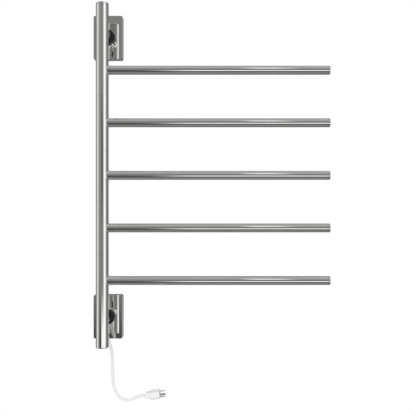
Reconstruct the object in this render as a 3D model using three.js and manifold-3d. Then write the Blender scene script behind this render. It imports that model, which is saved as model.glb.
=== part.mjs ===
// A wall-hung electric towel warmer. A fixed column stands off the wall on two brackets, and carries five
// heated bars. Each bar is welded to its own sleeve, which swivels on the column's inner core tube.
//
// Millimetres, +Z up. The wall is the plane Y = 0 and the room is towards -Y. The origin is the middle of the
// upper wall plate's rear face. At rest the bars point along +X, parallel to the wall.
import * as THREE from "three";
import { mergeVertices } from "three/addons/utils/BufferGeometryUtils.js";
import Module from "manifold-3d";

// ---------------------------------------------------------------- driving dimensions
const COLUMN_HEIGHT = 760;
const COLUMN_RADIUS = 14;
const TUBE_WALL = 1.5;
const BAR_COUNT = 5;
const BAR_PITCH = 116;
const BAR_RADIUS = 9.75;
const BAR_REACH = 502.5; // from the column's axis to a bar's tip
const WALL_GAP = 90; // from the wall to the column's axis
const BRACKET_INSET = 54; // from the column's end to the middle of a bracket

const COVER = { width: 68, height: 102, depth: 16, wall: 1.5, corner: 4, edge: 0.8 };
const WALL_PLATE = { width: 60, height: 94, thickness: 3, corner: 4 };
const SCREW_HOLE = { radius: 2.7, spacing: 72 };
const SPIGOT = { radius: 7.6, tip: 36 }; // the stub on a wall plate that a post slides over
const COLLAR = { radius: 16.5, thickness: 8, edge: 1.2 };
const POST_RADIUS = 9.5;
const GRUB = { radius: 2, length: 4.4, socket: 1, socketDepth: 1.8, distance: 30 }; // distance from the wall

const CORE = { radius: 11, wall: 1.5, insert: 25 }; // insert is how far it enters a fixed end section
const CORE_RING = { height: 20, inset: 1 };
const CORE_SCREW = { inset: 11, length: 3.5 }; // inset is from a seam to the screw that fixes the core
const CAP = { visible: 5, spigot: 8, columnEdge: 2, barEdge: 1.5 };
const BUSH = { flange: 13.1, flangeThickness: 1, body: 12.4, length: 12, proud: 0.1 };
const COUNTERBORE = { radius: 13.2, depth: 1.1 };
const HEATER = { radius: 4, shoulder: 7.6, from: 16, to: 21, nipple: 3, nippleTip: 8.3, end: 470 };
const NIPPLE_HOLE = 3.6;
const SLOT = { height: 7.4, overrun: THREE.MathUtils.degToRad(20) }; // overrun past each end of the half turn

const SEAM = 0.3; // axial gap between neighbouring sleeves
const GAP = 0.3; // between pieces that are welded or pressed together
const RUNNING = 0.05; // radial clearance of a bush on the core

const HARNESS_RADIUS = 2.5;
const OUTLET = { distance: 52, radius: 4.2, drop: 0.6 }; // the hole in the lower post that the cord leaves by
const RELIEF = { spigot: 3.4, spigotLength: 2.2, flange: 5.4, flangeThickness: 2, root: 4.6, tip: 3.8 };
const CORD = { radius: 3.25, steps: 24, sides: 10 };
const PLUG = { length: 32, edge: 1.2, tilt: THREE.MathUtils.degToRad(5), roll: THREE.MathUtils.degToRad(12) };
const PLUG_GRIP = { from: 0, to: PLUG.length, halfHeight: 7.4, back: -6, front: 17.9, corner: 2.8 };
const PLUG_FLANGE = { from: 9.3, to: 31.4, halfHeight: 11, back: -7, front: 5.5, corner: 2.4 };
const BLADE = { length: 12, root: 6, thickness: 1.5, width: 6.3, spacing: 12.7 };
const GROUND_PIN = { radius: 2.4, offset: 11.9, length: 14 };

// ---------------------------------------------------------------- derived places
const END_LENGTH = (COLUMN_HEIGHT - BAR_COUNT * BAR_PITCH) / 2; // a fixed end section
const COLUMN_TOP = BRACKET_INSET;
const COLUMN_BOTTOM = COLUMN_TOP - COLUMN_HEIGHT;
const UPPER_SEAM = COLUMN_TOP - END_LENGTH;
const LOWER_SEAM = COLUMN_BOTTOM + END_LENGTH;
const LOWER_BRACKET = COLUMN_BOTTOM + BRACKET_INSET;
const POST_BORE = POST_RADIUS - TUBE_WALL;
const COLUMN_BORE = COLUMN_RADIUS - TUBE_WALL;
const CORE_BORE = CORE.radius - CORE.wall;
const POST_UNDERSIDE = LOWER_BRACKET - POST_RADIUS;

// The power cord's middle line, from the strain relief's tip to the plug. It leans towards the wall as it
// drops, then turns along the wall.
const CORD_ROUTE = [
  [4.5, -52, -687],
  [5.5, -52, -692.5],
  [8.5, -49.5, -702],
  [11.5, -46, -715.5],
  [13.5, -42, -729.5],
  [14, -38.5, -743],
  [14, -35.5, -755],
  [13.5, -33, -768.5],
  [13, -31, -782],
  [13.5, -29.5, -796],
  [15.5, -29, -809.5],
  [20, -28.5, -822],
  [27, -28, -833],
  [35.5, -28, -840],
  [45.5, -28, -842.5],
  [56, -28, -840.5],
  [66, -28, -836.5],
  [77, -28, -833],
  [84.5, -28, -831.5],
  [90.5, -28, -831],
].map(([x, y, z]) => new THREE.Vector3(x, y, z));
const OUTLET_FACE = new THREE.Vector3(0, -OUTLET.distance, POST_UNDERSIDE - OUTLET.drop);

// Round sections have this many sides: a multiple of four puts a corner on each axis.
const SIDES = { shown: 20, hidden: 16, small: 8 };

// ---------------------------------------------------------------- materials
const finish = (color, roughness, metalness) =>
  new THREE.MeshStandardMaterial({ color, roughness, metalness });
const polishedSteel = finish(0xc9c8c6, 0.06, 1);
const plainSteel = finish(0x8f9192, 0.4, 1);
const blackNylon = finish(0x1d1d1e, 0.5, 0);
const bearingPolymer = finish(0x2b2b2d, 0.6, 0);
const heaterSheath = finish(0x9a958c, 0.35, 1);
const wireSilicone = finish(0xb8b2a6, 0.7, 0);
const whiteVinyl = finish(0xebecec, 0.45, 0);
const platedBrass = finish(0xd9c9b0, 0.25, 1);

// ---------------------------------------------------------------- solids
const wasm = await Module();
wasm.setup();

// A closed three.js geometry as a manifold solid, for joining and cutting.
function solidOf(geometry) {
  const bare = geometry.index ? geometry.toNonIndexed() : geometry.clone();
  bare.deleteAttribute("normal");
  bare.deleteAttribute("uv");
  const merged = mergeVertices(bare, 1e-4);
  const mesh = new wasm.Mesh({
    numProp: 3,
    vertProperties: merged.attributes.position.array,
    triVerts: new Uint32Array(merged.index.array),
  });
  return new wasm.Manifold(mesh);
}

function geometryOf(solid) {
  const { vertProperties, triVerts } = solid.getMesh();
  const geometry = new THREE.BufferGeometry();
  geometry.setAttribute("position", new THREE.BufferAttribute(vertProperties, 3));
  geometry.setIndex(new THREE.BufferAttribute(triVerts, 1));
  geometry.computeVertexNormals();
  return geometry;
}

const cut = (geometry, ...tools) =>
  geometryOf(tools.reduce((rest, tool) => rest.subtract(solidOf(tool)), solidOf(geometry)));
const join = (first, ...others) =>
  geometryOf(others.reduce((whole, other) => whole.add(solidOf(other)), solidOf(first)));

// A solid of revolution about Z. The profile's [radius, z] points start and end on the axis, and run outwards
// along the bottom and back along the top.
function turned(profile, sides) {
  const points = profile.map(([radius, z]) => new THREE.Vector2(radius, z));
  return new THREE.LatheGeometry(points, sides).rotateX(Math.PI / 2);
}

// The same for a profile that goes round a bore and closes on itself.
const turnedRing = (profile, sides) => turned([...profile, profile[0]], sides);

// The corner radius of a many-sided bore whose flats are this far from its axis.
const boreCorner = (radius, sides) => radius / Math.cos(Math.PI / sides);

const rod = (radius, from, to, sides) =>
  turned([[0, from], [radius, from], [radius, to], [0, to]], sides);

function tube(outer, inner, from, to, sides) {
  const bore = boreCorner(inner, sides);
  return turnedRing([[bore, from], [outer, from], [outer, to], [bore, to]], sides);
}

// A quarter-round edge of a profile, from a start angle, as [radius, z] points.
function roundedEdge(centreRadius, centreZ, edge, startAngle, steps = 2) {
  return Array.from({ length: steps + 1 }, (_, i) => {
    const angle = startAngle + (i / steps) * (Math.PI / 2);
    return [centreRadius + edge * Math.cos(angle), centreZ + edge * Math.sin(angle)];
  });
}

// A flat outline with round corners, centred on the origin.
function roundedRectangle(width, height, corner) {
  const [x, y] = [width / 2 - corner, height / 2 - corner];
  const shape = new THREE.Shape();
  shape.absarc(x, y, corner, 0, Math.PI / 2);
  shape.absarc(-x, y, corner, Math.PI / 2, Math.PI);
  shape.absarc(-x, -y, corner, Math.PI, 1.5 * Math.PI);
  shape.absarc(x, -y, corner, 1.5 * Math.PI, 2 * Math.PI);
  return shape;
}

function slab(shape, from, to, curveSegments = 4) {
  const options = { depth: to - from, bevelEnabled: false, curveSegments };
  return new THREE.ExtrudeGeometry(shape, options).translate(0, 0, from);
}

// A tube of round section that follows a curve.
function swept(curve, radius, steps, sides) {
  const section = new THREE.Shape(
    Array.from({ length: sides }, (_, i) => {
      const angle = (i / sides) * 2 * Math.PI;
      return new THREE.Vector2(radius * Math.cos(angle), radius * Math.sin(angle));
    }),
  );
  return new THREE.ExtrudeGeometry(section, { steps, extrudePath: curve, bevelEnabled: false });
}

function part(name, geometry, material) {
  const mesh = new THREE.Mesh(geometry, material);
  mesh.name = name;
  return mesh;
}

function group(...children) {
  const made = new THREE.Group();
  made.add(...children);
  return made;
}

// ---------------------------------------------------------------- shared pieces
// A press-in end cap: a short spigot in the tube's bore, and a visible band whose outer edge is rounded.
// Its band ends at z = 0 and its spigot points down.
function endCap(outer, edge) {
  const bore = outer - TUBE_WALL;
  const spigot = bore - GAP / 2;
  return turned(
    [
      [0, -CAP.visible - CAP.spigot],
      [spigot, -CAP.visible - CAP.spigot],
      [spigot, -CAP.visible + GAP / 2],
      [outer, -CAP.visible + GAP / 2],
      ...roundedEdge(outer - edge, -edge, edge, 0),
      [0, 0],
    ],
    SIDES.shown,
  );
}

// A headless screw that points down from z = 0, with its socket at the top.
function grubScrew(length) {
  return turned(
    [
      [0, -length],
      [GRUB.radius, -length],
      [GRUB.radius, 0],
      [GRUB.socket, 0],
      [GRUB.socket, -GRUB.socketDepth],
      [0, -GRUB.socketDepth],
    ],
    SIDES.small,
  );
}

// A tool that drills a hole along Z, to be turned and moved to its place.
const drill = (radius, from, to) => rod(radius, from, to, SIDES.small);

// ---------------------------------------------------------------- wall brackets
// A bracket's own frame: x to the right, y up and z out of the wall.
function wallPlate() {
  const { width, height, thickness, corner } = WALL_PLATE;
  const plate = slab(roundedRectangle(width, height, corner), 0, thickness);
  const spigot = rod(SPIGOT.radius, thickness / 2, SPIGOT.tip, SIDES.shown);
  const screwHoles = [-1, 1].map((side) =>
    drill(SCREW_HOLE.radius, -thickness, 2 * thickness).translate(0, (side * SCREW_HOLE.spacing) / 2, 0),
  );
  const seatFloor = POST_RADIUS - GRUB.length - 2 * GAP;
  const grubSeat = drill(GRUB.radius + GAP, seatFloor, POST_RADIUS)
    .rotateX(Math.PI / 2)
    .translate(0, 0, GRUB.distance);
  return cut(join(plate, spigot), ...screwHoles, grubSeat);
}

function cover() {
  const { width, height, depth, wall, corner, edge } = COVER;
  const inset = roundedRectangle(width - 2 * edge, height - 2 * edge, corner - edge);
  const outer = new THREE.ExtrudeGeometry(inset, {
    depth: depth - edge,
    bevelSize: edge,
    bevelThickness: edge,
    bevelSegments: 2,
    curveSegments: 4,
  });
  const hollow = slab(
    roundedRectangle(width - 2 * wall, height - 2 * wall, corner - wall),
    -2 * edge,
    depth - wall,
  );
  const behindWall = new THREE.BoxGeometry(2 * width, 2 * height, depth).translate(0, 0, -depth / 2);
  const spigotHole = rod(boreCorner(SPIGOT.radius + GAP, SIDES.shown), 0, 2 * depth, SIDES.shown);
  return cut(outer, hollow, behindWall, spigotHole);
}

function collar() {
  const { radius, thickness, edge } = COLLAR;
  const bore = boreCorner(POST_RADIUS + GAP, SIDES.shown);
  const front = COVER.depth + thickness;
  return turnedRing(
    [
      [bore, COVER.depth + GAP],
      [radius, COVER.depth + GAP],
      ...roundedEdge(radius - edge, front - edge, edge, 0),
      [bore, front],
    ],
    SIDES.shown,
  );
}

// The post is a tube whose far end is shaped to the column that it is welded to.
function post(outletRadius) {
  const blank = tube(POST_RADIUS, POST_BORE, COVER.depth + GAP, WALL_GAP, SIDES.shown);
  const reach = 2 * COLUMN_RADIUS;
  const saddle = rod(COLUMN_RADIUS + GAP, -reach, reach, SIDES.shown)
    .rotateX(Math.PI / 2)
    .translate(0, 0, WALL_GAP);
  const downwards = (radius, distance) =>
    drill(radius, 0, 2 * POST_RADIUS)
      .rotateX(Math.PI / 2)
      .translate(0, 0, distance);
  const holes = [downwards(GRUB.radius + GAP, GRUB.distance)];
  if (outletRadius) holes.push(downwards(outletRadius, OUTLET.distance));
  return cut(blank, saddle, ...holes);
}

function bracket(place, height, outletRadius) {
  const screw = part(`grub_screw_${place}`, grubScrew(GRUB.length), plainSteel);
  screw.position.set(0, -POST_RADIUS + GAP, GRUB.distance);
  screw.rotation.x = Math.PI / 2;
  const made = group(
    part(`wall_plate_${place}`, wallPlate(), plainSteel),
    part(`cover_${place}`, cover(), polishedSteel),
    part(`collar_${place}`, collar(), blackNylon),
    part(`post_${place}`, post(outletRadius), polishedSteel),
    screw,
  );
  made.rotation.x = Math.PI / 2;
  made.position.z = height;
  return made;
}

// ---------------------------------------------------------------- the fixed column
// An end section's own frame has z = 0 at its seam and its capped end at z = END_LENGTH.
function endSection() {
  const blank = tube(COLUMN_RADIUS, COLUMN_BORE, SEAM / 2, END_LENGTH - CAP.visible - GAP / 2, SIDES.shown);
  const towardsWall = (radius, z) =>
    drill(radius, COLUMN_RADIUS / 2, 2 * COLUMN_RADIUS)
      .rotateX(-Math.PI / 2)
      .translate(0, 0, z);
  return cut(
    blank,
    towardsWall(POST_BORE, END_LENGTH - BRACKET_INSET),
    towardsWall(GRUB.radius + GAP, CORE_SCREW.inset),
  );
}

// The ring that centres the core tube in an end section.
function coreRing() {
  const { inset, height } = CORE_RING;
  const ring = tube(COLUMN_BORE - GAP / 2, CORE.radius + GAP / 2, inset, inset + height, SIDES.shown);
  return cut(
    ring,
    drill(GRUB.radius + GAP, 0, 2 * COLUMN_RADIUS)
      .rotateX(-Math.PI / 2)
      .translate(0, 0, CORE_SCREW.inset),
  );
}

function columnEnd(place, seam, turn) {
  const cap = part(`column_cap_${place}`, endCap(COLUMN_RADIUS, CAP.columnEdge), polishedSteel);
  cap.position.z = END_LENGTH;
  const screw = part(`core_screw_${place}`, grubScrew(CORE_SCREW.length), plainSteel);
  screw.position.set(0, COLUMN_RADIUS - GAP, CORE_SCREW.inset);
  screw.rotation.x = -Math.PI / 2;
  const made = group(
    part(`column_${place}`, endSection(), polishedSteel),
    cap,
    part(`core_ring_${place}`, coreRing(), plainSteel),
    screw,
  );
  made.position.set(0, -WALL_GAP, seam);
  made.rotation.y = turn;
  return made;
}

// The core tube carries the sleeves. At each bar it has a slot of half a turn and a little more, which the
// heater's nipple runs in: the slot's ends are the swivel's stops.
function coreTube() {
  const [low, high] = [LOWER_SEAM - CORE.insert, UPPER_SEAM + CORE.insert];
  const blank = tube(CORE.radius, CORE_BORE, low, high, SIDES.shown);
  const sector = new THREE.Shape();
  const [inside, outside] = [CORE_BORE - CORE.wall, CORE.radius + CORE.wall];
  sector.absarc(0, 0, outside, -Math.PI - SLOT.overrun, SLOT.overrun);
  sector.absarc(0, 0, inside, SLOT.overrun, -Math.PI - SLOT.overrun, true);
  const slots = barHeights().map((z) =>
    slab(sector, z - SLOT.height / 2, z + SLOT.height / 2, SIDES.small),
  );
  const screwHoles = [UPPER_SEAM + CORE_SCREW.inset, LOWER_SEAM - CORE_SCREW.inset].map((z) =>
    drill(GRUB.radius + GAP, 0, 2 * CORE.radius)
      .rotateX(-Math.PI / 2)
      .translate(0, 0, z),
  );
  return cut(blank, ...slots, ...screwHoles);
}

function barHeights() {
  return Array.from({ length: BAR_COUNT }, (_, i) => UPPER_SEAM - (i + 0.5) * BAR_PITCH);
}

// The supply wires run down the core, turn into the lower post and end over the cord's outlet.
function wiringHarness() {
  const bottom = LOWER_BRACKET - HARNESS_RADIUS;
  const downCore = rod(HARNESS_RADIUS, bottom, barHeights()[0], SIDES.small).translate(0, -WALL_GAP, 0);
  const alongPost = rod(HARNESS_RADIUS, OUTLET.distance - HARNESS_RADIUS, WALL_GAP, SIDES.small)
    .rotateX(Math.PI / 2)
    .translate(0, 0, LOWER_BRACKET);
  const overOutlet = rod(HARNESS_RADIUS, POST_UNDERSIDE + POST_BORE / 2, LOWER_BRACKET, SIDES.small);
  return join(downCore, alongPost, overOutlet.translate(0, -OUTLET.distance, 0));
}

// ---------------------------------------------------------------- a swivelling arm
// An arm's own frame: z up the column's axis and x along the bar, with the bar's axis at z = 0.
function sleeve() {
  const half = (BAR_PITCH - SEAM) / 2;
  const bore = boreCorner(COLUMN_BORE, SIDES.shown);
  const counterbore = boreCorner(COUNTERBORE.radius, SIDES.shown);
  const shoulder = half - COUNTERBORE.depth;
  const blank = turnedRing(
    [
      [counterbore, -half],
      [COLUMN_RADIUS, -half],
      [COLUMN_RADIUS, half],
      [counterbore, half],
      [counterbore, shoulder],
      [bore, shoulder],
      [bore, -shoulder],
      [counterbore, -shoulder],
    ],
    SIDES.shown,
  );
  return cut(blank, drill(NIPPLE_HOLE, 0, 2 * COLUMN_RADIUS).rotateY(Math.PI / 2));
}

// A flanged bush for a sleeve's upper end; the lower one is turned over.
function bush() {
  const end = (BAR_PITCH - SEAM) / 2 + BUSH.proud;
  const bore = boreCorner(CORE.radius + RUNNING, SIDES.hidden);
  const underFlange = end - BUSH.flangeThickness;
  return turnedRing(
    [
      [bore, end - BUSH.length],
      [BUSH.body, end - BUSH.length],
      [BUSH.body, underFlange],
      [BUSH.flange, underFlange],
      [BUSH.flange, end],
      [bore, end],
    ],
    SIDES.hidden,
  );
}

// The bar is modelled along z, and its inner end is shaped to the sleeve that it is welded to.
function bar() {
  const blank = tube(BAR_RADIUS, BAR_RADIUS - TUBE_WALL, 0, BAR_REACH - CAP.visible - GAP / 2, SIDES.shown);
  const reach = 2 * COLUMN_RADIUS;
  const saddle = rod(COLUMN_RADIUS + GAP, -reach, reach, SIDES.shown).rotateY(Math.PI / 2);
  return cut(blank, saddle);
}

// A cartridge heater along z. Its nipple passes through the sleeve into the core's slot, its shoulder centres
// it in the bar, and its sheath fills most of the bar's length.
function heater() {
  return turned(
    [
      [0, HEATER.nippleTip],
      [HEATER.nipple, HEATER.nippleTip],
      [HEATER.nipple, HEATER.from],
      [HEATER.shoulder, HEATER.from],
      [HEATER.shoulder, HEATER.to],
      [HEATER.radius, HEATER.to],
      [HEATER.radius, HEATER.end],
      [0, HEATER.end],
    ],
    SIDES.small,
  );
}

function arm(number, height) {
  const cap = part(`bar_cap_${number}`, endCap(BAR_RADIUS, CAP.barEdge), polishedSteel);
  cap.position.z = BAR_REACH;
  const alongBar = group(
    part(`bar_${number}`, bar(), polishedSteel),
    part(`heating_element_${number}`, heater(), heaterSheath),
    cap,
  );
  alongBar.rotation.y = Math.PI / 2;
  const lowerBush = part(`bush_lower_${number}`, bush(), bearingPolymer);
  lowerBush.rotation.x = Math.PI;
  const made = group(
    part(`sleeve_${number}`, sleeve(), polishedSteel),
    part(`bush_upper_${number}`, bush(), bearingPolymer),
    lowerBush,
    alongBar,
  );
  made.position.set(0, -WALL_GAP, height);
  return made;
}

// ---------------------------------------------------------------- power cord
// The strain relief is modelled along z: its spigot enters the post's hole and its boot tapers to the cord.
function strainRelief(length) {
  const { spigot, spigotLength, flange, flangeThickness, root, tip } = RELIEF;
  return turned(
    [
      [0, -spigotLength],
      [spigot, -spigotLength],
      [spigot, 0],
      [flange, 0],
      [flange, flangeThickness],
      [root, flangeThickness],
      [tip, length],
      [0, length],
    ],
    SIDES.hidden,
  );
}

// A block of the moulded plug along x, with rounded edges. Its front is towards the room, along z.
function plugBlock({ from, to, halfHeight, back, front, corner }) {
  const { edge } = PLUG;
  const outline = roundedRectangle(front - back - 2 * edge, 2 * (halfHeight - edge), corner);
  return new THREE.ExtrudeGeometry(outline, {
    depth: to - from - 2 * edge,
    bevelSize: edge,
    bevelThickness: edge,
    bevelSegments: 2,
    curveSegments: 4,
  })
    .rotateY(Math.PI / 2)
    .translate(from + edge, 0, (front + back) / 2);
}

// The plug's own frame: x along its blades, y up and z towards the room. x = 0 is where the cord enters. The
// blades stand in the wide flange, and the narrower grip in front of it holds the ground pin.
function plugBody() {
  const pocketDepth = BLADE.root + GAP;
  const bladePockets = [-1, 1].map((place) =>
    new THREE.BoxGeometry(2 * pocketDepth, BLADE.thickness + 2 * GAP, BLADE.width + 2 * GAP).translate(
      PLUG.length,
      (place * BLADE.spacing) / 2,
      0,
    ),
  );
  const pinPocket = drill(GROUND_PIN.radius + GAP, -pocketDepth, pocketDepth)
    .rotateY(Math.PI / 2)
    .translate(PLUG.length, 0, GROUND_PIN.offset);
  return cut(join(plugBlock(PLUG_GRIP), plugBlock(PLUG_FLANGE)), ...bladePockets, pinPocket);
}

function plug() {
  const bladeMiddle = PLUG.length + (BLADE.length - BLADE.root) / 2;
  const blades = ["live", "neutral"].map((wire, i) => {
    const blade = new THREE.BoxGeometry(BLADE.length + BLADE.root, BLADE.thickness, BLADE.width);
    const mesh = part(`plug_blade_${wire}`, blade, platedBrass);
    mesh.position.set(bladeMiddle, (i ? -1 : 1) * (BLADE.spacing / 2), 0);
    return mesh;
  });
  const pin = part(
    "plug_ground_pin",
    rod(GROUND_PIN.radius, -BLADE.root, GROUND_PIN.length, SIDES.small),
    platedBrass,
  );
  pin.rotation.y = Math.PI / 2;
  pin.position.set(PLUG.length, 0, GROUND_PIN.offset);
  const rolled = group(part("plug_body", plugBody(), whiteVinyl), ...blades, pin);
  rolled.rotation.x = -PLUG.roll;
  const made = group(rolled);
  made.position.copy(CORD_ROUTE[CORD_ROUTE.length - 1]);
  made.position.x += GAP;
  made.rotation.set(Math.PI / 2, 0, PLUG.tilt);
  return made;
}

function cordSet() {
  const along = CORD_ROUTE[0].clone().sub(OUTLET_FACE);
  const relief = part("strain_relief", strainRelief(along.length() - GAP), whiteVinyl);
  relief.position.copy(OUTLET_FACE);
  relief.quaternion.setFromUnitVectors(new THREE.Vector3(0, 0, 1), along.normalize());
  const lead = swept(new THREE.CatmullRomCurve3(CORD_ROUTE), CORD.radius, CORD.steps, CORD.sides);
  return group(relief, part("power_cord", lead, whiteVinyl), plug());
}

// ---------------------------------------------------------------- the whole object
const core = part("core_tube", coreTube(), plainSteel);
core.position.y = -WALL_GAP;

const towelWarmer = group(
  bracket("upper", 0, 0),
  bracket("lower", LOWER_BRACKET, OUTLET.radius),
  columnEnd("top", UPPER_SEAM, 0),
  columnEnd("bottom", LOWER_SEAM, Math.PI),
  core,
  ...barHeights().map((height, i) => arm(i + 1, height)),
  part("wiring_harness", wiringHarness(), wireSilicone),
  cordSet(),
);

export default towelWarmer;
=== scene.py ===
"""Looks for a wall-hung electric towel warmer whose five bars swivel on one column.

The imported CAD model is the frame. Each node that shows is replaced by a finer piece in the same place,
and the nodes inside the column and the bars keep their shape and get materials. Metres, in the frame's
own axes: +X along the bars at rest, -Y into the room, +Z up.
"""
import math

import bmesh
import bpy
from mathutils import Matrix, Vector


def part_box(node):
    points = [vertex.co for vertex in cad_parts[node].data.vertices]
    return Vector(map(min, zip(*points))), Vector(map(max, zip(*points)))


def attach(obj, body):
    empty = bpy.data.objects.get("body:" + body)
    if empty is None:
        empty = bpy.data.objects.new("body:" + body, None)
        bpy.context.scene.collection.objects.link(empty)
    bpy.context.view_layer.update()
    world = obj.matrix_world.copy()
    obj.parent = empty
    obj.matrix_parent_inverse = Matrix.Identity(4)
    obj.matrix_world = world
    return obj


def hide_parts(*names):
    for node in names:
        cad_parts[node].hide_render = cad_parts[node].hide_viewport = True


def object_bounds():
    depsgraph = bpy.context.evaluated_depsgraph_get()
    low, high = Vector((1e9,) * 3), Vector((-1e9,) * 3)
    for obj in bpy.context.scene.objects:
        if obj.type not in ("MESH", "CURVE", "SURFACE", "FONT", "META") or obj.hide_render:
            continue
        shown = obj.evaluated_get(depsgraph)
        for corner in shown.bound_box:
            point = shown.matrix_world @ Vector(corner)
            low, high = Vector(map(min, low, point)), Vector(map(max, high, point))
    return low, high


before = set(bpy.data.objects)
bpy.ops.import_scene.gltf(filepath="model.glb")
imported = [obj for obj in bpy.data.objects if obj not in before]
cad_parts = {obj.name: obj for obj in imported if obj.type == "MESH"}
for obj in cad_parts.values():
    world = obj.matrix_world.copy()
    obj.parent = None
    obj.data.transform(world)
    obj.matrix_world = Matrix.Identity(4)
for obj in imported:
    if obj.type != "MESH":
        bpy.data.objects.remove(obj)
cad_low, cad_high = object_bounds()

MM = 0.001
PLACES = ("upper", "lower")
ENDS = ("top", "bottom")
ARMS = range(1, 6)
ROOT = "wall_frame"


# ---------------------------------------------------------------- places and sizes, from the frame
def middle(node):
    low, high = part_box(node)
    return (low + high) / 2


def size(node):
    low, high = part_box(node)
    return high - low


AXIS = Vector((middle("sleeve_1").x, middle("sleeve_1").y, 0))
COLUMN_RADIUS = size("sleeve_1").x / 2
BAR_RADIUS = size("bar_1").z / 2
POST_RADIUS = size("post_upper").x / 2
TUBE_WALL = 1.5 * MM
COVER_DEPTH = size("cover_upper").y
COVER_CORNER = 4 * MM
COUNTERBORE = {"radius": 13.2 * MM, "depth": 1.1 * MM}
SEAM_GAP = 0.1 * MM
SEAM_EDGE = 0.06 * MM
SEAM_REACH = (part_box("sleeve_1")[0].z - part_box("sleeve_2")[1].z - SEAM_GAP) / 2  # past the CAD's end
CAP_BAND = 5 * MM
CAP_CLEARANCE = 0.15 * MM
CAP_SPIGOT_TIP = 13 * MM
BAR_CAP_EDGE = 1.5 * MM
COLUMN_CAP_EDGE = 2 * MM
SET_SCREW = {"radius": 2 * MM, "socket": 1 * MM, "clearance_hole": 2.3 * MM}
NIPPLE_HOLE = 3.6 * MM
GRUB_DISTANCE = 30 * MM  # from the wall
CORE_SCREW_INSET = 11 * MM  # from a seam

# The power cord's middle line in millimetres, from the strain relief's tip to the plug.
CORD_RADIUS = 3.25 * MM
CORD_ROUTE = [
    (4.5, -52, -687),
    (5.5, -52, -692.5),
    (8.5, -49.5, -702),
    (11.5, -46, -715.5),
    (13.5, -42, -729.5),
    (14, -38.5, -743),
    (14, -35.5, -755),
    (13.5, -33, -768.5),
    (13, -31, -782),
    (13.5, -29.5, -796),
    (15.5, -29, -809.5),
    (20, -28.5, -822),
    (27, -28, -833),
    (35.5, -28, -840),
    (45.5, -28, -842.5),
    (56, -28, -840.5),
    (66, -28, -836.5),
    (77, -28, -833),
    (84.5, -28, -831.5),
    (90.5, -28, -831),
]
OUTLET = {"distance": 52 * MM, "radius": 4.2 * MM, "drop": 0.6 * MM}  # the cord's hole in the lower post
RELIEF = {"spigot": 3.4 * MM, "flange": 5.4 * MM, "flange_end": 2 * MM, "root": 4.6 * MM, "tip": 3.8 * MM}
RELIEF_GROOVE = {"count": 6, "pitch": 2.8 * MM, "depth": 0.5 * MM}

PLUG_LENGTH = 32 * MM
PLUG_TILT = math.radians(5)
PLUG_ROLL = math.radians(12)
PLUG_GRIP = {
    "from": 0,
    "to": PLUG_LENGTH,
    "half_height": 7.4 * MM,
    "back": -6 * MM,
    "front": 17.9 * MM,
    "corner": 4 * MM,
}
PLUG_FLANGE = {
    "from": 9.3 * MM,
    "to": 31.4 * MM,
    "half_height": 11 * MM,
    "back": -7 * MM,
    "front": 5.5 * MM,
    "corner": 3.6 * MM,
}
PLUG_POCKET = {"depth": 6.3 * MM, "half_thick": 0.9 * MM, "half_wide": 3.35 * MM, "pin_radius": 2.6 * MM}
BLADE_LENGTH = 12 * MM
BLADE_SPACING = 12.7 * MM
PIN_LENGTH = 14 * MM
PIN_OFFSET = 11.9 * MM

# The camera looks straight at the wall, this far right of the column, in front of it and below the origin.
CAMERA = {"right": 0.2334, "front": 1.275, "height": -0.398, "lens": 50, "sensor": 36}


# ---------------------------------------------------------------- node helpers
def add(tree, kind, inputs=None, **settings):
    """A node with its settings, and its inputs set to values or linked to other nodes' sockets."""
    node = tree.nodes.new(kind)
    for name, value in settings.items():
        setattr(node, name, value)
    for key, value in (inputs or {}).items():
        if isinstance(value, bpy.types.NodeSocket):
            tree.links.new(value, node.inputs[key])
        else:
            node.inputs[key].default_value = value
    return node


def calc(tree, operation, *values):
    node = add(tree, "ShaderNodeMath", dict(enumerate(values)), operation=operation)
    return node.outputs[0]


def spread(tree, value, low, high, to_low, to_high, smooth=False):
    """value mapped from low..high to to_low..to_high, and held at both ends."""
    kind = "SMOOTHSTEP" if smooth else "LINEAR"
    inputs = {"Value": value, "From Min": low, "From Max": high, "To Min": to_low, "To Max": to_high}
    return add(tree, "ShaderNodeMapRange", inputs, interpolation_type=kind).outputs[0]


def blend_values(tree, share, first, second):
    return add(tree, "ShaderNodeMix", {0: share, 2: first, 3: second}, data_type="FLOAT").outputs[0]


def blend_colours(tree, share, first, second):
    return add(tree, "ShaderNodeMix", {0: share, 6: first, 7: second}, data_type="RGBA").outputs[2]


def noise(tree, scale, stretch=(1, 1, 1), detail=3.0, roughness=0.5):
    """Noise in the piece's own coordinates. scale counts features per metre; stretch divides it by axis."""
    where = add(tree, "ShaderNodeTexCoord").outputs["Object"]
    scales = [scale / s for s in stretch]
    placed = add(tree, "ShaderNodeMapping", {"Vector": where, "Scale": scales}).outputs[0]
    inputs = {"Vector": placed, "Scale": 1.0, "Detail": detail, "Roughness": roughness}
    return add(tree, "ShaderNodeTexNoise", inputs).outputs["Fac"]


def bump(tree, height, strength, depth):
    inputs = {"Height": height, "Strength": strength, "Distance": depth}
    return add(tree, "ShaderNodeBump", inputs).outputs[0]


def material(name, metallic=0.0, **constants):
    made = bpy.data.materials.new(name)
    made.use_nodes = True
    shader = made.node_tree.nodes["Principled BSDF"]
    shader.inputs["Metallic"].default_value = metallic
    for socket, value in constants.items():
        shader.inputs[socket.replace("_", " ")].default_value = value
    return made, made.node_tree, shader


def drive(tree, shader, **sockets):
    for socket, value in sockets.items():
        tree.links.new(value, shader.inputs[socket.replace("_", " ")])


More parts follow.
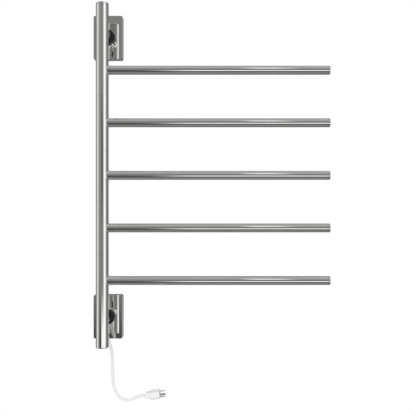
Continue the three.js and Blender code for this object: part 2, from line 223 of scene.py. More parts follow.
# ---------------------------------------------------------------- materials
def polished_chrome():
    """Mirror polish with faint wiping smudges, and hairlines round and along the tube."""
    made, tree, shader = material("polished_chrome", metallic=1.0)
    smudge = spread(tree, noise(tree, 55, detail=4), 0.42, 0.75, 0, 1)
    mist = noise(tree, 420, detail=2)
    hairline = noise(tree, 5200, stretch=(1, 1, 70), detail=2)
    polish = spread(tree, smudge, 0, 1, 0.015, 0.045)
    rough = calc(tree, "MULTIPLY_ADD", spread(tree, mist, 0.35, 0.65, 0, 1), 0.012, polish)
    tint = blend_colours(tree, smudge, (0.955, 0.952, 0.945, 1), (0.915, 0.912, 0.906, 1))
    drive(tree, shader, Base_Color=tint, Roughness=rough, Normal=bump(tree, hairline, 0.02, 0.00001))
    return made


def zinc_steel(name, light, dark, roughness):
    """Plated steel sheet or turned steel: cloudy plating, fine drawn grain along Z."""
    made, tree, shader = material(name, metallic=1.0)
    cloud = noise(tree, 140, detail=5, roughness=0.6)
    grain = noise(tree, 3600, stretch=(1, 1, 30), detail=3)
    shade = calc(tree, "ADD", calc(tree, "MULTIPLY", cloud, 0.7), calc(tree, "MULTIPLY", grain, 0.3))
    tint = blend_colours(tree, spread(tree, shade, 0.35, 0.65, 0, 1), dark, light)
    rough = spread(tree, shade, 0.3, 0.7, roughness - 0.08, roughness + 0.1)
    drive(tree, shader, Base_Color=tint, Roughness=rough, Normal=bump(tree, grain, 0.2, 0.00003))
    return made


def moulded_plastic(name, light, dark, roughness, grain_scale, grain_depth):
    """Moulded plastic: a fine spark-eroded grain, and a soft variation in gloss and colour."""
    made, tree, shader = material(name)
    cloud = noise(tree, 90, detail=3)
    grain = noise(tree, grain_scale, detail=2, roughness=0.6)
    tint = blend_colours(tree, spread(tree, cloud, 0.35, 0.65, 0, 1), dark, light)
    gloss = calc(tree, "ADD", calc(tree, "MULTIPLY", cloud, 0.5), calc(tree, "MULTIPLY", grain, 0.5))
    rough = spread(tree, gloss, 0.35, 0.65, roughness - 0.06, roughness + 0.08)
    drive(tree, shader, Base_Color=tint, Roughness=rough, Normal=bump(tree, grain, 0.2, grain_depth))
    return made


def plated_blade():
    """Bright nickel on brass, brushed along the blade, a little warmer where it has rubbed."""
    made, tree, shader = material("plug_metal", metallic=1.0)
    brush = noise(tree, 4200, stretch=(45, 1, 1), detail=3)
    rub = spread(tree, noise(tree, 160, detail=3), 0.45, 0.7, 0, 1)
    tint = blend_colours(tree, rub, (0.92, 0.90, 0.87, 1), (0.88, 0.80, 0.69, 1))
    rough = spread(tree, brush, 0.3, 0.7, 0.24, 0.36)
    drive(tree, shader, Base_Color=tint, Roughness=rough, Normal=bump(tree, brush, 0.15, 0.00002))
    return made


CHROME = polished_chrome()
STEEL = zinc_steel("mounting_steel", (0.62, 0.63, 0.64, 1), (0.47, 0.48, 0.50, 1), 0.36)
SCREW = zinc_steel("screw_steel", (0.34, 0.34, 0.35, 1), (0.22, 0.22, 0.23, 1), 0.34)
SHEATH = zinc_steel("heater_sheath", (0.58, 0.56, 0.52, 1), (0.42, 0.38, 0.33, 1), 0.40)
BLACK = moulded_plastic(
    "black_plastic", (0.012, 0.012, 0.013, 1), (0.007, 0.007, 0.008, 1), 0.42, 2600, 0.00004
)
BEARING = moulded_plastic(
    "bearing_plastic", (0.05, 0.05, 0.055, 1), (0.03, 0.03, 0.033, 1), 0.5, 2200, 0.00003
)
WIRES = moulded_plastic("wire_insulation", (0.70, 0.67, 0.60, 1), (0.58, 0.55, 0.48, 1), 0.62, 1500, 0.00005)
WHITE = moulded_plastic("white_plastic", (0.90, 0.905, 0.905, 1), (0.865, 0.87, 0.868, 1), 0.45, 900, 0.00001)
BLADE = plated_blade()


# ---------------------------------------------------------------- mesh helpers
def put(name, mesh, body, slot, finish, *nodes):
    """Shows a mesh as a piece that rides on a body and stands for CAD nodes."""
    piece = bpy.data.objects.new(name, mesh)
    bpy.context.scene.collection.objects.link(piece)
    mesh.materials.clear()
    mesh.materials.append(finish)
    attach(piece, body)
    if nodes:
        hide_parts(*nodes)
    return piece


def place(mesh, matrix):
    mesh.transform(matrix)
    return mesh


def polish_normals(mesh, angle=32):
    """Smooth shading, with edges sharper than the angle kept crisp."""
    mesh.shade_smooth()
    mesh.set_sharp_from_angle(angle=math.radians(angle))
    return mesh


def weigh_normals(piece):
    modifier = piece.modifiers.new("normals", "WEIGHTED_NORMAL")
    modifier.keep_sharp = True
    modifier.weight = 100
    return piece


def chrome_piece(name, mesh, body, node):
    return weigh_normals(put(name, mesh, body, "polished_chrome", CHROME, node))


def skin(rings, closed=False, start_cap=True, end_cap=True):
    """A mesh through rings of points, all of one count. closed joins the last ring to the first."""
    mesh = bmesh.new()
    made = [[mesh.verts.new(p) for p in ring] for ring in rings]
    pairs = list(zip(made, made[1:] + made[:1])) if closed else list(zip(made, made[1:]))
    for a, b in pairs:
        for i in range(len(a)):
            j = (i + 1) % len(a)
            mesh.faces.new((a[i], a[j], b[j], b[i]))
    if not closed and start_cap:
        mesh.faces.new(made[0])
    if not closed and end_cap:
        mesh.faces.new(made[-1])
    bmesh.ops.recalc_face_normals(mesh, faces=mesh.faces)
    out = bpy.data.meshes.new("piece")
    mesh.to_mesh(out)
    mesh.free()
    return polish_normals(out)


def rounded_path(corners, closed, steps=4):
    """A polyline through corners (a, b, radius), with an arc of that radius at each corner."""
    count = len(corners)
    path = []
    for i, (a, b, radius) in enumerate(corners):
        here = Vector((a, b))
        inner = closed or 0 < i < count - 1
        if radius <= 0 or not inner:
            path.append(here)
            continue
        before = (Vector(corners[i - 1][:2]) - here).normalized()
        after = (Vector(corners[(i + 1) % count][:2]) - here).normalized()
        half = math.acos(max(-1.0, min(1.0, before.dot(after)))) / 2
        reach = radius / math.tan(half)
        centre = here + (before + after).normalized() * radius / math.sin(half)
        start, end = here + before * reach - centre, here + after * reach - centre
        turn = start.angle_signed(end)
        for k in range(steps + 1):
            path.append(centre + Matrix.Rotation(-turn * k / steps, 2) @ start)
    return path


def supported(path, closed, inset=0.25 * MM):
    """The path with two more points on each long stretch, to keep the arcs' shading off the flats."""
    out = []
    ends = path[1:] + path[:1] if closed else path[1:]
    for a, b in zip(path, ends):
        out.append(a)
        length = (b - a).length
        if length > 4 * inset:
            out += [a.lerp(b, inset / length), b.lerp(a, inset / length)]
    if not closed:
        out.append(path[-1])
    return out


def turned(corners, closed=False, segments=96, steps=4):
    """A turned piece about Z, from its profile's corners (radius, z, edge radius)."""
    path = supported(rounded_path(corners, closed, steps), closed)
    angles = [2 * math.pi * i / segments for i in range(segments)]
    rings = [[(r * math.cos(t), r * math.sin(t), z) for t in angles] for r, z in path]
    return skin(rings, closed)


def combine(mesh, operation, *tools):
    """The mesh with each tool cut away from it or joined to it."""
    subject = bpy.data.objects.new("subject", mesh)
    bpy.context.scene.collection.objects.link(subject)
    helpers = []
    for tool in tools:
        helper = bpy.data.objects.new("tool", tool)
        bpy.context.scene.collection.objects.link(helper)
        helpers.append(helper)
        modifier = subject.modifiers.new("cut", "BOOLEAN")
        modifier.operation = operation
        modifier.solver = "EXACT"
        modifier.object = helper
    bpy.context.view_layer.update()
    evaluated = subject.evaluated_get(bpy.context.evaluated_depsgraph_get())
    out = bpy.data.meshes.new_from_object(evaluated)
    for o in [subject, *helpers]:
        bpy.data.objects.remove(o)
    return polish_normals(out)


def peg(radius, low, high, segments=32):
    return turned([(radius, low, 0), (radius, high, 0)], segments=segments)


def rounded_rectangle(width, height, corner, corner_steps=8, side_steps=4):
    """Points round a rectangle with round corners, centred, counter-clockwise from the lower right."""
    points = []
    for turn in range(4):
        start = turn * math.pi / 2 - math.pi / 2
        x = (width / 2 - corner) * (1 if turn in (0, 1) else -1)
        y = (height / 2 - corner) * (1 if turn in (1, 2) else -1)
        arc = [
            (x + corner * math.cos(start + math.pi / 2 * k / corner_steps),
             y + corner * math.sin(start + math.pi / 2 * k / corner_steps))
            for k in range(corner_steps + 1)
        ]
        points += arc
        along = (0, 1) if turn % 2 == 0 else (1, 0)
        span = (height if turn % 2 == 0 else width) - 2 * corner
        sign = (1, -1, -1, 1)[turn]
        for k in range(1, side_steps):
            step = sign * span * k / side_steps
            points.append((arc[-1][0] + along[0] * step, arc[-1][1] + along[1] * step))
    return points


def facing_room(x, y, z):
    """Turns a piece modelled with z out of the wall and y up into the frame, and moves it."""
    return Matrix.Translation((x, y, z)) @ Matrix.Rotation(math.pi / 2, 4, "X")


# ---------------------------------------------------------------- tubes that are welded to the column
def coped_tube(radius, length, weld, segments=96, arc_steps=5):
    """A tube along +X from the column's axis, shaped to the column, with a small weld fillet."""
    angles = [2 * math.pi * i / segments for i in range(segments)]
    inner = radius - TUBE_WALL

    def saddle(distance, r, t):
        return math.sqrt(distance**2 - (r * math.cos(t)) ** 2)

    def fillet_point(t, share):
        corner = Vector((saddle(COLUMN_RADIUS, radius, t), radius * math.cos(t), radius * math.sin(t)))
        on_tube = corner + Vector((weld, 0, 0))
        outward = Vector((0, math.cos(t), math.sin(t)))
        normal = Vector((corner.x, corner.y, 0)).normalized()
        on_column = corner + (outward - normal * outward.dot(normal)).normalized() * weld
        flat = Vector((on_column.x, on_column.y)).normalized() * (COLUMN_RADIUS - 0.05 * MM)
        on_column = Vector((flat.x, flat.y, on_column.z))
        return on_column * (1 - share) ** 2 + corner * 2 * share * (1 - share) + on_tube * share**2

    def round_ring(x, r):
        return [(x, r * math.cos(t), r * math.sin(t)) for t in angles]

    def foot_ring(r):
        return [(saddle(COLUMN_RADIUS - 0.3 * MM, r, t), r * math.cos(t), r * math.sin(t)) for t in angles]

    rings = [[fillet_point(t, k / arc_steps) for t in angles] for k in range(arc_steps + 1)]
    rim = 0.15 * MM
    for x, r in (
        (COLUMN_RADIUS + 2 * weld, radius),
        (length - 2 * rim, radius),
        (length - rim, radius),
        (length, radius - rim),
        (length, inner + rim),
        (length - rim, inner),
        (COLUMN_RADIUS + weld, inner),
    ):
        rings.append(round_ring(x, r))
    rings.append(foot_ring(inner))
    return skin(rings, closed=True)


def end_cap(outer, edge):
    """A press-in cap, top at z = 0: a band with a round outer edge, and a spigot below it."""
    spigot = outer - TUBE_WALL - CAP_CLEARANCE
    band = -CAP_BAND + CAP_CLEARANCE
    return turned(
        [
            (spigot - 1 * MM, -CAP_SPIGOT_TIP, 0),
            (spigot, -CAP_SPIGOT_TIP + 0.6 * MM, 0.3 * MM),
            (spigot, band, 0),
            (outer, band, 0.15 * MM),
            (outer, 0, edge),
            (outer * 0.4, 0, 0),
        ],
        steps=6,
    )


# ---------------------------------------------------------------- the five swivelling arms
def sleeve_mesh(half):
    bore = COLUMN_RADIUS - TUBE_WALL
    counter = COUNTERBORE["radius"]
    shoulder = half - COUNTERBORE["depth"]
    end = half + SEAM_REACH
    near_bar = 7 * MM
    return turned(
        [
            (counter, -end, 0.1 * MM),
            (COLUMN_RADIUS, -end, SEAM_EDGE),
            (COLUMN_RADIUS, -near_bar, 0),
            (COLUMN_RADIUS, near_bar, 0),
            (COLUMN_RADIUS, end, SEAM_EDGE),
            (counter, end, 0.1 * MM),
            (counter, shoulder, 0),
            (bore, shoulder, 0),
            (bore, near_bar, 0),
            (bore, -near_bar, 0),
            (bore, -shoulder, 0),
            (counter, -shoulder, 0),
        ],
        closed=True,
        segments=128,
    )


def make_arm(number):
    body = f"arm_{number}"
    height = middle(f"bar_{number}").z
    here = Matrix.Translation((AXIS.x, AXIS.y, height))
    nipple_hole = place(peg(NIPPLE_HOLE, 0, 1.5 * COLUMN_RADIUS), Matrix.Rotation(math.pi / 2, 4, "Y"))
    sleeve = place(combine(sleeve_mesh(size(f"sleeve_{number}").z / 2), "DIFFERENCE", nipple_hole), here)
    chrome_piece(f"sleeve_{number}_shell", sleeve, body, f"sleeve_{number}")
    tube_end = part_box(f"bar_{number}")[1].x
    bar = place(coped_tube(BAR_RADIUS, tube_end, weld=1.0 * MM), here)
    chrome_piece(f"bar_{number}_tube", bar, body, f"bar_{number}")
    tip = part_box(f"bar_cap_{number}")[1].x
    cap = place(
        end_cap(BAR_RADIUS, BAR_CAP_EDGE),
        Matrix.Translation((tip, AXIS.y, height)) @ Matrix.Rotation(math.pi / 2, 4, "Y"),
    )
    chrome_piece(f"bar_{number}_tip", cap, body, f"bar_cap_{number}")


# ---------------------------------------------------------------- the fixed column
def socket_screw(radius, length, socket):
    """A headless screw with its top at z = 0: chamfered ends, a thread, and a hexagon socket."""
    pitch = 0.7 * MM
    crests = int((length - 1 * MM) / pitch)
    corners = [(radius * 0.55, -length, 0), (radius * 0.82, -length + 0.35 * MM, 0)]
    for k in range(crests):
        z = -length + 0.45 * MM + k * pitch
        corners += [(radius, z + pitch * 0.45, 0), (radius - 0.3 * MM, z + pitch * 0.9, 0)]
    corners += [(radius, -0.35 * MM, 0.1 * MM), (radius - 0.3 * MM, 0, 0)]
    body = turned(corners, segments=40)
    hexagon = turned([(socket, -1.8 * MM, 0), (socket, 0.5 * MM, 0)], segments=6)
    return combine(body, "DIFFERENCE", hexagon)


def make_column_end(place_name, sign):
    """sign is +1 for the top and -1 for the bottom: the section's own z runs from its seam to its cap."""
    low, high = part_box(f"column_{place_name}")
    cap_low, cap_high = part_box(f"column_cap_{place_name}")
    seam = (low.z if sign > 0 else high.z) - sign * SEAM_REACH
    far = high.z if sign > 0 else low.z
    end = cap_high.z if sign > 0 else cap_low.z
    bracket = middle("post_upper" if sign > 0 else "post_lower").z
    length = abs(far - seam)
    screw_z = CORE_SCREW_INSET - SEAM_GAP / 2
    bore = COLUMN_RADIUS - TUBE_WALL
    turn = Matrix.Identity(4) if sign > 0 else Matrix.Rotation(math.pi, 4, "Y")
    here = Matrix.Translation((AXIS.x, AXIS.y, seam)) @ turn
    shell = turned(
        [
            (bore, 0, 0.1 * MM),
            (COLUMN_RADIUS, 0, SEAM_EDGE),
            (COLUMN_RADIUS, screw_z - 3.5 * MM, 0),
            (COLUMN_RADIUS, screw_z + 3.5 * MM, 0),
            (COLUMN_RADIUS, length, 0.15 * MM),
            (bore, length, 0.1 * MM),
        ],
        closed=True,
        segments=128,
    )
    to_wall = Matrix.Rotation(-math.pi / 2, 4, "X")
    inside, outside = 8 * MM, 20 * MM
    holes = [
        place(
            peg(SET_SCREW["clearance_hole"], inside, outside),
            Matrix.Translation((0, 0, screw_z)) @ to_wall,
        ),
        place(
            peg(POST_RADIUS - TUBE_WALL, inside, outside, 48),
            Matrix.Translation((0, 0, abs(bracket - seam))) @ to_wall,
        ),
    ]
    shell = place(combine(shell, "DIFFERENCE", *holes), here)
    chrome_piece(f"column_{place_name}_shell", shell, ROOT, f"column_{place_name}")
    cap = place(end_cap(COLUMN_RADIUS, COLUMN_CAP_EDGE), Matrix.Translation((AXIS.x, AXIS.y, end)) @ turn)
    chrome_piece(f"column_{place_name}_cap", cap, ROOT, f"column_cap_{place_name}")
    box_low, box_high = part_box(f"core_screw_{place_name}")
    screw = place(
        socket_screw(SET_SCREW["radius"], box_high.y - box_low.y, SET_SCREW["socket"]),
        Matrix.Translation((AXIS.x, box_high.y, (box_low.z + box_high.z) / 2)) @ to_wall,
    )
    put(f"core_screw_{place_name}_socket", screw, ROOT, "screw_steel", SCREW, f"core_screw_{place_name}")


# ---------------------------------------------------------------- wall brackets
def cover_mesh(hole):
    """A drawn metal shell, open at the wall, in a bracket's own axes: x right, y up, z out of the wall."""
    width, height, depth = size("cover_upper").x, size("cover_upper").z, COVER_DEPTH
    wall, edge, rim = 1.5 * MM, 0.8 * MM, 0.2 * MM
    inner_edge = 0.4 * MM
    section = [
        (0, rim),
        (0, depth - edge),
        *[(edge * (1 - math.cos(t)), depth - edge + edge * math.sin(t)) for t in arc_angles(6)],
        (edge + 0.4 * MM, depth),
        (edge + 3 * MM, depth),
    ]
    lining = [
        (wall + 3 * MM, depth - wall),
        (wall + inner_edge, depth - wall),
        (wall, depth - wall - inner_edge),
        (wall, rim),
        (wall - rim, 0),
        (rim, 0),
    ]

    def outline(inset, z):
        corner = max(COVER_CORNER - inset, 0.5 * MM)
        return [(x, y, z) for x, y in rounded_rectangle(width - 2 * inset, height - 2 * inset, corner)]

    def hole_ring(z, radius):
        around = outline(edge, z)
        return [Vector((x, y, 0)).normalized() * radius + Vector((0, 0, z)) for x, y, _ in around]

    rings = [outline(inset, z) for inset, z in section]
    rings.append(hole_ring(depth, hole + rim))
    rings.append(hole_ring(depth - rim, hole))
    rings.append(hole_ring(depth - wall, hole))
    rings += [outline(inset, z) for inset, z in lining]
    return skin(rings, closed=True)


def arc_angles(steps):
    return [math.pi / 2 * k / steps for k in range(1, steps + 1)]


def wall_plate_mesh():
    """A stamped plate with two countersunk screw holes and a turned spigot, in a bracket's own axes."""
    width, height, corner = 60 * MM, 94 * MM, 4 * MM
    thick, edge = 3 * MM, 0.5 * MM
    screw_offset = 36 * MM
    rings = [
        [(x, y, z) for x, y in rounded_rectangle(width - 2 * inset, height - 2 * inset, corner - inset)]
        for inset, z in ((edge, 0), (0, edge), (0, thick - edge), (edge, thick))
    ]
    spigot = turned(
        [
            (9.4 * MM, 1 * MM, 0),
            (9.4 * MM, 3.6 * MM, 0.4 * MM),
            (7.6 * MM, 4.6 * MM, 0.8 * MM),
            (7.6 * MM, 36 * MM, 0.6 * MM),
            (3 * MM, 36 * MM, 0),
        ],
        segments=64,
    )
    seat = place(
        peg(SET_SCREW["clearance_hole"], 4.5 * MM, 10 * MM),
        Matrix.Translation((0, 0, GRUB_DISTANCE)) @ Matrix.Rotation(math.pi / 2, 4, "X"),
    )
    screw_hole = [(2.7 * MM, -1 * MM, 0), (2.7 * MM, 1.4 * MM, 0), (5.2 * MM, thick + 0.9 * MM, 0)]
    holes = [
        place(turned(screw_hole, segments=40), Matrix.Translation((0, y, 0)))
        for y in (-screw_offset, screw_offset)
    ]
    return combine(combine(skin(rings), "UNION", spigot), "DIFFERENCE", seat, *holes)


def collar_mesh():
    low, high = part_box("collar_upper")
    back, front = -high.y, -low.y
    outer, bore = size("collar_upper").x / 2, POST_RADIUS + 0.3 * MM
    return turned(
        [
            (bore, back, 0.2 * MM),
            (outer, back, 0.3 * MM),
            (outer, front, 1.2 * MM),
            (bore, front, 0.4 * MM),
        ],
        closed=True,
        steps=6,
    )


def make_bracket(name):
    height = middle(f"cover_{name}").z
    here = facing_room(0, 0, height)
    cover = place(cover_mesh(hole=7.9 * MM), here)
    chrome_piece(f"cover_{name}_shell", cover, ROOT, f"cover_{name}")
    plate = place(wall_plate_mesh(), here)
    put(f"wall_plate_{name}_pressing", plate, ROOT, "mounting_steel", STEEL, f"wall_plate_{name}")
    collar = place(collar_mesh(), here)
    weigh_normals(put(f"collar_{name}_ring", collar, ROOT, "black_plastic", BLACK, f"collar_{name}"))
    make_post(name, height)
    screw_low, screw_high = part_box(f"grub_screw_{name}")
    screw = place(
        socket_screw(SET_SCREW["radius"], screw_high.z - screw_low.z, SET_SCREW["socket"]),
        Matrix.Translation((0, -GRUB_DISTANCE, screw_low.z)) @ Matrix.Rotation(math.pi, 4, "X"),
    )
    put(f"grub_screw_{name}_socket", screw, ROOT, "screw_steel", SCREW, f"grub_screw_{name}")


def make_post(name, height):
    """The post runs from the column's axis towards the wall, and has its holes underneath."""
    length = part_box(f"post_{name}")[1].y - AXIS.y
    tube = coped_tube(POST_RADIUS, length, weld=1.2 * MM)
    downwards = Matrix.Rotation(math.pi, 4, "Y")
    holes = [(SET_SCREW["clearance_hole"], -GRUB_DISTANCE)]
    if name == "lower":
        holes.append((OUTLET["radius"], -OUTLET["distance"]))
    cutters = [
        place(peg(radius, 0, 2 * POST_RADIUS), Matrix.Translation((y - AXIS.y, 0, 0)) @ downwards)
        for radius, y in holes
    ]
    here = Matrix.Translation((AXIS.x, AXIS.y, height)) @ Matrix.Rotation(math.pi / 2, 4, "Z")
    post = place(combine(tube, "DIFFERENCE", *cutters), here)
    chrome_piece(f"post_{name}_tube", post, ROOT, f"post_{name}")


# ---------------------------------------------------------------- power cord and plug
def smooth_route(points, steps=8):
    """A centripetal Catmull-Rom curve through the points, as the cord's own solid follows."""
    ends = [points[0] * 2 - points[1], *points, points[-1] * 2 - points[-2]]
    route = []
    for p0, p1, p2, p3 in zip(ends, ends[1:], ends[2:], ends[3:]):
        t0 = 0.0
        t1 = t0 + math.sqrt((p1 - p0).length)
        t2 = t1 + math.sqrt((p2 - p1).length)
        t3 = t2 + math.sqrt((p3 - p2).length)
        for k in range(steps):
            t = t1 + (t2 - t1) * k / steps
            a1 = p0 * ((t1 - t) / (t1 - t0)) + p1 * ((t - t0) / (t1 - t0))
            a2 = p1 * ((t2 - t) / (t2 - t1)) + p2 * ((t - t1) / (t2 - t1))
            a3 = p2 * ((t3 - t) / (t3 - t2)) + p3 * ((t - t2) / (t3 - t2))
            b1 = a1 * ((t2 - t) / (t2 - t0)) + a2 * ((t - t0) / (t2 - t0))
            b2 = a2 * ((t3 - t) / (t3 - t1)) + a3 * ((t - t1) / (t3 - t1))
            route.append(b1 * ((t2 - t) / (t2 - t1)) + b2 * ((t - t1) / (t2 - t1)))
    return [*route, points[-1]]


def make_cord(with_pieces):
    route = smooth_route([Vector(point) * MM for point in CORD_ROUTE])
    curve = bpy.data.curves.new("power_cord_lead", "CURVE")
    curve.dimensions = "3D"
    curve.bevel_depth = CORD_RADIUS
    curve.bevel_resolution = 8
    curve.use_fill_caps = True
    spline = curve.splines.new("POLY")
    spline.points.add(len(route) - 1)
    for point, where in zip(spline.points, route):
        point.co = (*where, 1)
    spline.use_smooth = True
    curve.materials.append(WHITE)
    lead = bpy.data.objects.new("power_cord_lead", curve)
    bpy.context.scene.collection.objects.link(lead)
    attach(lead, ROOT)
    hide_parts("power_cord")


def make_strain_relief():
    """A flange under the post, then a tapered boot with flexing grooves, aimed at the cord's start."""
    foot = Vector((0, -OUTLET["distance"], middle("post_lower").z - POST_RADIUS - OUTLET["drop"]))
    along = Vector(CORD_ROUTE[0]) * MM - foot
    spigot, flange, root, tip = RELIEF["spigot"], RELIEF["flange"], RELIEF["root"], RELIEF["tip"]
    start, end = RELIEF["flange_end"], along.length - 0.3 * MM
    corners = [
        (spigot - 0.2 * MM, -2.2 * MM, 0),
        (spigot, -1.9 * MM, 0),
        (spigot, 0, 0),
        (flange, 0, 0.3 * MM),
        (flange, start, 0.6 * MM),
        (root, start + 0.1 * MM, 0.3 * MM),
    ]
    depth = RELIEF_GROOVE["depth"]
    for k in range(RELIEF_GROOVE["count"]):
        z = start + 3 * MM + k * RELIEF_GROOVE["pitch"]
        radius = root + (tip - root) * (z - start) / (end - start)
        corners += [
            (radius, z, 0.15 * MM),
            (radius - depth, z + 0.25 * MM, 0.15 * MM),
            (radius - depth, z + 0.95 * MM, 0.15 * MM),
            (radius, z + 1.2 * MM, 0.15 * MM),
        ]
    corners += [(tip, end - 0.2 * MM, 0.3 * MM), (CORD_RADIUS, end, 0)]
    turn = Vector((0, 0, 1)).rotation_difference(along).to_matrix().to_4x4()
    mesh = place(turned(corners, segments=48, steps=2), Matrix.Translation(foot) @ turn)
    return put("strain_relief_boot", mesh, ROOT, "white_plastic", WHITE, "strain_relief")


def plug_frame():
    """The plug's own axes: x along its blades, y up and z towards the room, tilted and rolled as it hangs."""
    x, y, z = CORD_ROUTE[-1]
    tilt = Matrix.Rotation(-PLUG_TILT, 4, "Y")
    axes = Matrix(((1, 0, 0, 0), (0, 0, -1, 0), (0, 1, 0, 0), (0, 0, 0, 1)))
    roll = Matrix.Rotation(-PLUG_ROLL, 4, "X")
    return Matrix.Translation(((x + 0.3) * MM, y * MM, z * MM)) @ tilt @ axes @ roll


def plug_block(shape):
    """A block of the plug along x, with round corners and rounded ends."""
    edge, steps = 1.2 * MM, 6
    corner = shape["corner"]
    depth, height = shape["front"] - shape["back"], 2 * shape["half_height"]
    centre = (shape["front"] + shape["back"]) / 2
    swing = [math.pi / 2 * k / steps for k in range(steps + 1)]
    stations = [(shape["from"] + edge * (1 - math.sin(t)), edge * (1 - math.cos(t))) for t in reversed(swing)]
    stations += [(shape["to"] - edge * (1 - math.sin(t)), edge * (1 - math.cos(t))) for t in swing]
    rings = []
    for x, inset in stations:
        outline = rounded_rectangle(depth - 2 * inset, height - 2 * inset, corner - inset)
        rings.append([(x, y, z + centre) for z, y in outline])
    return skin(rings)


def plug_mesh():
    """The moulded body: a wide flange with the blades, and a narrower grip in front with the ground pin."""
    body = combine(plug_block(PLUG_GRIP), "UNION", plug_block(PLUG_FLANGE))
    depth = PLUG_POCKET["depth"]
    half = Vector((depth, PLUG_POCKET["half_thick"], PLUG_POCKET["half_wide"]))
    cutters = [block(Vector((PLUG_LENGTH, side * BLADE_SPACING / 2, 0)), half) for side in (-1, 1)]
    pin = place(peg(PLUG_POCKET["pin_radius"], -depth, depth), Matrix.Rotation(math.pi / 2, 4, "Y"))
    cutters.append(place(pin, Matrix.Translation((PLUG_LENGTH, 0, PIN_OFFSET))))
    return combine(body, "DIFFERENCE", *cutters)


def block(centre, half):
    mesh = bmesh.new()
    bmesh.ops.create_cube(mesh, size=2.0)
    out = bpy.data.meshes.new("piece")
    mesh.to_mesh(out)
    mesh.free()
    return place(out, Matrix.Translation(centre) @ Matrix.Diagonal((*half, 1)))


def blade_mesh():
    """A flat blade along x with a chamfered tip and a locking hole, and its root inside the plug."""
    root, length, half_thick, half_wide = 6 * MM, BLADE_LENGTH, 0.75 * MM, 3.15 * MM
    chamfer = 1.0 * MM
    stations = [(-root, 1, 1), (length - chamfer, 1, 1), (length - 0.2 * MM, 0.45, 0.86), (length, 0.3, 0.8)]
    edge = 0.18 * MM
    rings = []
    for x, thin, narrow in stations:
        points = rounded_rectangle(2 * half_thick * thin, 2 * half_wide * narrow, edge * thin, 3, 2)
        rings.append([(x, y, z) for y, z in points])
    hole = place(peg(1.6 * MM, -2 * MM, 2 * MM, 24), Matrix.Rotation(math.pi / 2, 4, "X"))
    return combine(skin(rings), "DIFFERENCE", place(hole, Matrix.Translation((length - 4.2 * MM, 0, 0))))


def pin_mesh():
    """The round ground pin along z, with a bullet tip."""
    radius, root, length = 2.4 * MM, 6 * MM, PIN_LENGTH
    corners = [(radius, -root, 0), (radius, length, 1.9 * MM), (0.3 * MM, length, 0)]
    return turned(corners, segments=48, steps=8)


def make_plug():
    here = plug_frame()
    body = put("plug_moulding", place(plug_mesh(), here), ROOT, "white_plastic", WHITE, "plug_body")
    pieces = [body]
    for wire, side in (("live", 1), ("neutral", -1)):
        offset = Matrix.Translation((PLUG_LENGTH, side * BLADE_SPACING / 2, 0))
        blade = place(place(blade_mesh(), offset), here)
        pieces.append(put(f"plug_blade_{wire}_flat", blade, ROOT, "plug_metal", BLADE, f"plug_blade_{wire}"))
    stand = Matrix.Translation((PLUG_LENGTH, 0, PIN_OFFSET)) @ Matrix.Rotation(math.pi / 2, 4, "Y")
    pin = place(place(pin_mesh(), stand), here)
    pieces.append(put("plug_ground_pin_round", pin, ROOT, "plug_metal", BLADE, "plug_ground_pin"))
    return pieces


# ---------------------------------------------------------------- nodes that keep their CAD shape
def finish_inner_nodes():
    inner = {"core_tube": STEEL, "core_ring_top": STEEL, "core_ring_bottom": STEEL, "wiring_harness": WIRES}
    for n in ARMS:
        inner[f"bush_upper_{n}"] = BEARING
        inner[f"bush_lower_{n}"] = BEARING
        inner[f"heating_element_{n}"] = SHEATH
    for node, finish in inner.items():
        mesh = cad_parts[node].data
        mesh.materials.clear()
        mesh.materials.append(finish)


# ---------------------------------------------------------------- studio
# A grey studio with soft panels, for reflections. Levels are brightness on screen from 0 to 1, and angles
# are degrees. Azimuth 0 is towards the room and + is to the right; elevation + is up.
ROOM = {"below": 0.50, "above": 0.60}
DOME = {"level": 0.82, "rise": 0.25, "from_wall": -0.30, "behind": 0.3, "behind_from": 0.7}
DAYLIGHT = (1.0, 0.992, 0.982, 1)
PANELS = {
    "wall side": {"level": 0.45, "azimuth": (110, 250), "elevation": (-60, 60), "soft": 20},
    "left softbox": {"level": 0.85, "azimuth": (-105, -60), "elevation": (-60, 60), "soft": 12},
    "right softbox": {"level": 1.00, "azimuth": (35, 75), "elevation": (-60, 60), "soft": 8},
    "grey front": {"level": 0.50, "azimuth": (-25, 15), "elevation": (-10, 30), "soft": 8},
    "dark strip": {"level": 0.35, "azimuth": (-5, 20), "elevation": (0, 10), "soft": 3},
    "overhead softbox": {"level": 0.70, "azimuth": (-180, 180), "elevation": (55, 80), "soft": 8},
    "key softbox": {"level": 1.00, "azimuth": (5, 10), "elevation": (30, 50), "soft": 1},
    "bright bench": {"level": 1.00, "azimuth": (-5, 60), "elevation": (-30, -10), "soft": 3},
    "dark gap": {"level": 0.25, "azimuth": (-40, -5), "elevation": (-30, -10), "soft": 4},
    "under the bench": {"level": 0.25, "azimuth": (-180, 180), "elevation": (-55, -35), "soft": 5},
}


def on_screen(level):
    """Linear light for a brightness on screen."""
    return ((level + 0.055) / 1.055) ** 2.4


def window(tree, value, limits, soft):
    """1 where value is between the limits, with soft edges."""
    low, high = limits
    rise = spread(tree, value, low - soft, low + soft, 0, 1, smooth=True)
    fall = spread(tree, value, high - soft, high + soft, 1, 0, smooth=True)
    return calc(tree, "MULTIPLY", rise, fall)


def softbox(tree, light, azimuth, elevation, panel):
    """The light so far with one soft panel over it."""
    limits = panel["azimuth"]
    if limits == (-180, 180):
        across = 1.0
    else:
        across = window(tree, azimuth, limits, panel["soft"])
    if limits[1] > 180:  # it goes on past straight behind
        round_again = tuple(limit - 360 for limit in limits)
        across = calc(tree, "MAXIMUM", across, window(tree, azimuth, round_again, panel["soft"]))
    share = calc(tree, "MULTIPLY", across, window(tree, elevation, panel["elevation"], panel["soft"]))
    return blend_values(tree, share, light, on_screen(panel["level"]))


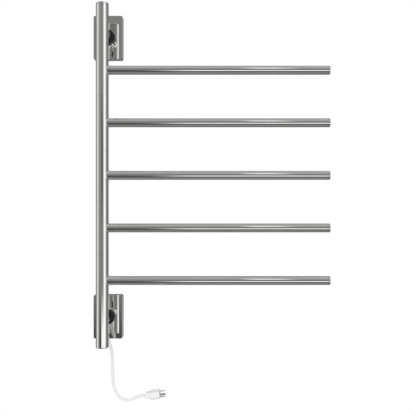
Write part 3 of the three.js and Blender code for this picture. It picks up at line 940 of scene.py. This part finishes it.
def reflected_studio(tree):
    """What the polished metal reflects: a grey room that is lighter above, and the panels."""
    direction = add(tree, "ShaderNodeTexCoord").outputs["Generated"]
    x, y, z = add(tree, "ShaderNodeSeparateXYZ", {0: direction}).outputs
    towards_room = calc(tree, "MULTIPLY", y, -1.0)
    azimuth = calc(tree, "DEGREES", calc(tree, "ARCTAN2", x, towards_room))
    elevation = calc(tree, "DEGREES", calc(tree, "ARCSINE", z))
    light = spread(tree, z, -0.3, 0.4, on_screen(ROOM["below"]), on_screen(ROOM["above"]), smooth=True)
    for panel in PANELS.values():
        light = softbox(tree, light, azimuth, elevation, panel)
    return light


def make_world():
    """White behind the rack, the studio in its reflections, and a soft dome of daylight on what is matt."""
    world = bpy.data.worlds.new("studio")
    bpy.context.scene.world = world
    world.use_nodes = True
    world.cycles.sampling_method = "NONE"
    tree = world.node_tree
    tree.nodes.clear()
    path = add(tree, "ShaderNodeLightPath")
    tinted = add(tree, "ShaderNodeMix", {0: 1.0, 6: reflected_studio(tree), 7: DAYLIGHT},
                 data_type="RGBA", blend_type="MULTIPLY").outputs[2]
    direction = add(tree, "ShaderNodeTexCoord").outputs["Generated"]
    _, y, z = add(tree, "ShaderNodeSeparateXYZ", {0: direction}).outputs
    dome = calc(tree, "MULTIPLY_ADD", z, DOME["rise"], DOME["level"])
    dome = calc(tree, "MULTIPLY_ADD", y, DOME["from_wall"], dome)
    shade = spread(tree, y, 0, DOME["behind_from"], 1.0, DOME["behind"], smooth=True)
    dome = calc(tree, "MULTIPLY", dome, shade)
    soft = blend_colours(tree, path.outputs["Is Glossy Ray"], dome, tinted)
    shown = blend_colours(tree, path.outputs["Is Camera Ray"], soft, (1, 1, 1, 1))
    background = add(tree, "ShaderNodeBackground", {"Color": shown, "Strength": 1.0})
    output = add(tree, "ShaderNodeOutputWorld")
    tree.links.new(background.outputs[0], output.inputs["Surface"])


def make_floor():
    """A pale round floor well below the rack, which is hung on a wall."""
    radius = 0.85
    drop = 0.42
    segments = 96
    angles = [2 * math.pi * i / segments for i in range(segments)]
    centre = (cad_low + cad_high) / 2
    level = cad_low.z - drop
    ring = [(centre.x + radius * math.cos(t), centre.y + radius * math.sin(t), level) for t in angles]
    mesh = skin([ring], start_cap=True, end_cap=False)
    finish, tree, shader = material("studio_floor")
    cloud = noise(tree, 3, detail=3)
    drive(tree, shader, Base_Color=blend_colours(tree, cloud, (0.93, 0.93, 0.93, 1), (0.96, 0.96, 0.96, 1)),
          Roughness=spread(tree, cloud, 0.3, 0.7, 0.7, 0.8))
    mesh.materials.append(finish)
    floor = bpy.data.objects.new("studio_floor", mesh)
    bpy.context.scene.collection.objects.link(floor)
    floor.visible_glossy = False


def make_camera():
    data = bpy.data.cameras.new("camera")
    data.lens = CAMERA["lens"]
    data.sensor_width = CAMERA["sensor"]
    data.clip_end = 50
    camera = bpy.data.objects.new("camera", data)
    bpy.context.scene.collection.objects.link(camera)
    camera.location = (AXIS.x + CAMERA["right"], AXIS.y - CAMERA["front"], CAMERA["height"])
    camera.rotation_euler = (math.pi / 2, 0, 0)
    bpy.context.scene.camera = camera


def set_colours():
    view = bpy.context.scene.view_settings
    view.view_transform = "Standard"
    view.look = "None"


make_camera()
relief = make_strain_relief()
make_cord(with_pieces=[*make_plug(), relief])
for name in PLACES:
    make_bracket(name)
for name, sign in zip(ENDS, (1, -1)):
    make_column_end(name, sign)
for number in ARMS:
    make_arm(number)
finish_inner_nodes()
make_world()
make_floor()
set_colours()
